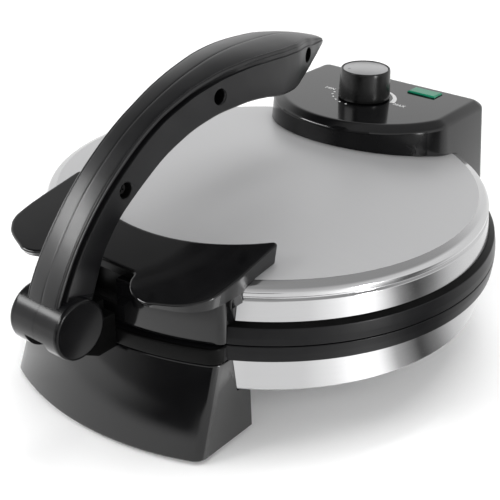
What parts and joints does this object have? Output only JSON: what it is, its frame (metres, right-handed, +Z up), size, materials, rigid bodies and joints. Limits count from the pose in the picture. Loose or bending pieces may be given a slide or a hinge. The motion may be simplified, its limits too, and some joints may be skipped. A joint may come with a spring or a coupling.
{
  "type": "electric roti maker",
  "caption": "Countertop round flatbread press with two hinged griddle plates, steel lid and bowl, a tall split lever arching over the lid, and a thermostat housing at the back.",
  "frame": {"origin": "middle of the footprint's bounding box, on the surface the foot pads stand on", "axes": "+X to the right seen from the front, +Y from the lever at the front towards the control housing at the back, +Z up"},
  "size_m": [0.29, 0.3604, 0.1908],
  "materials": {
    "lid_steel": "satin stainless steel with a polished edge",
    "bowl_steel": "polished stainless steel",
    "gloss_black": "mirror-gloss moulded black",
    "satin_black": "soft-gloss moulded black",
    "ring_black": "satin moulded black",
    "non_stick": "dark grey non-stick coating on cast aluminium",
    "element_steel": "heat-tinted element sheath",
    "shield_metal": "plain pressed sheet",
    "screw_steel": "zinc plated",
    "thermostat_metal": "plated, satin",
    "rubber": "matt",
    "white_ceramic": "unglazed, matt",
    "cap_grey": "satin grey with a fine spun grain",
    "green_lens": "clear tinted, glossy",
    "lamp_glass": "clear"
  },
  "bodies": {
    "base": {"lower_shell": "bowl_steel", "base_ring": "ring_black", "lower_plate": "non_stick", "lower_element": "element_steel", "lower_heat_shield": "shield_metal", "lower_thermal_fuse": "white_ceramic", "terminal_block": "white_ceramic", "front_foot": "gloss_black", "front_foot_cover": "ring_black", "rear_foot": "gloss_black", "rear_foot_cover": "ring_black", "cord_gland": "rubber", "lever_bracket": "gloss_black", "lever_pin": "screw_steel", "foot_pad_front_left": "rubber", "foot_pad_rear_left": "rubber", "foot_pad_front_right": "rubber", "foot_pad_rear_right": "rubber", "bracket_screw_left": "screw_steel", "bracket_screw_right": "screw_steel", "hinge_pin_left": "screw_steel", "hinge_pin_right": "screw_steel", "front_cover_screw_left": "screw_steel", "front_cover_screw_right": "screw_steel", "rear_cover_screw_left": "screw_steel", "rear_cover_screw_right": "screw_steel", "lower_plate_screw_1": "screw_steel", "lower_plate_screw_2": "screw_steel", "lower_plate_screw_3": "screw_steel"},
    "lid": {"lid_shell": "lid_steel", "lid_ring": "ring_black", "upper_plate": "non_stick", "upper_element": "element_steel", "upper_heat_shield": "shield_metal", "upper_thermal_fuse": "white_ceramic", "lid_front_block": "gloss_black", "lid_grip": "gloss_black", "lid_hinge_block": "ring_black", "control_housing": "gloss_black", "indicator_lens": "green_lens", "indicator_lamp": "lamp_glass", "thermostat_body": "thermostat_metal", "grip_screw_left": "screw_steel", "grip_screw_right": "screw_steel", "upper_plate_screw_1": "screw_steel", "upper_plate_screw_2": "screw_steel", "upper_plate_screw_3": "screw_steel"},
    "lever": {"lever_half_left": "satin_black", "lever_half_right": "satin_black", "barrel_cap_left": "gloss_black", "barrel_cap_right": "gloss_black", "lever_screw_1": "screw_steel", "lever_screw_2": "screw_steel", "lever_screw_3": "screw_steel"},
    "control_knob": {"knob": "gloss_black", "knob_cap": "cap_grey", "thermostat_shaft": "screw_steel"}
  },
  "joints": [
    {"name": "lid_hinge", "type": "hinge", "parent": "base", "child": "lid", "pos_m": [0, 0.16504, 0.06], "axis": [-1, 0, 0], "range_deg": [0, 95]},
    {"name": "lever_swing", "type": "hinge", "parent": "base", "child": "lever", "pos_m": [0, -0.16346, 0.0773], "axis": [1, 0, 0], "range_deg": [0, 140]},
    {"name": "knob_turn", "type": "hinge", "parent": "lid", "child": "control_knob", "pos_m": [0, 0.12374, 0.122], "axis": [0, 0, -1], "range_deg": [0, 270]}
  ],
  "couplings": [
    {"joint": "lever_swing", "follows": "lid_hinge", "ratio": 1.4737}
  ]
}
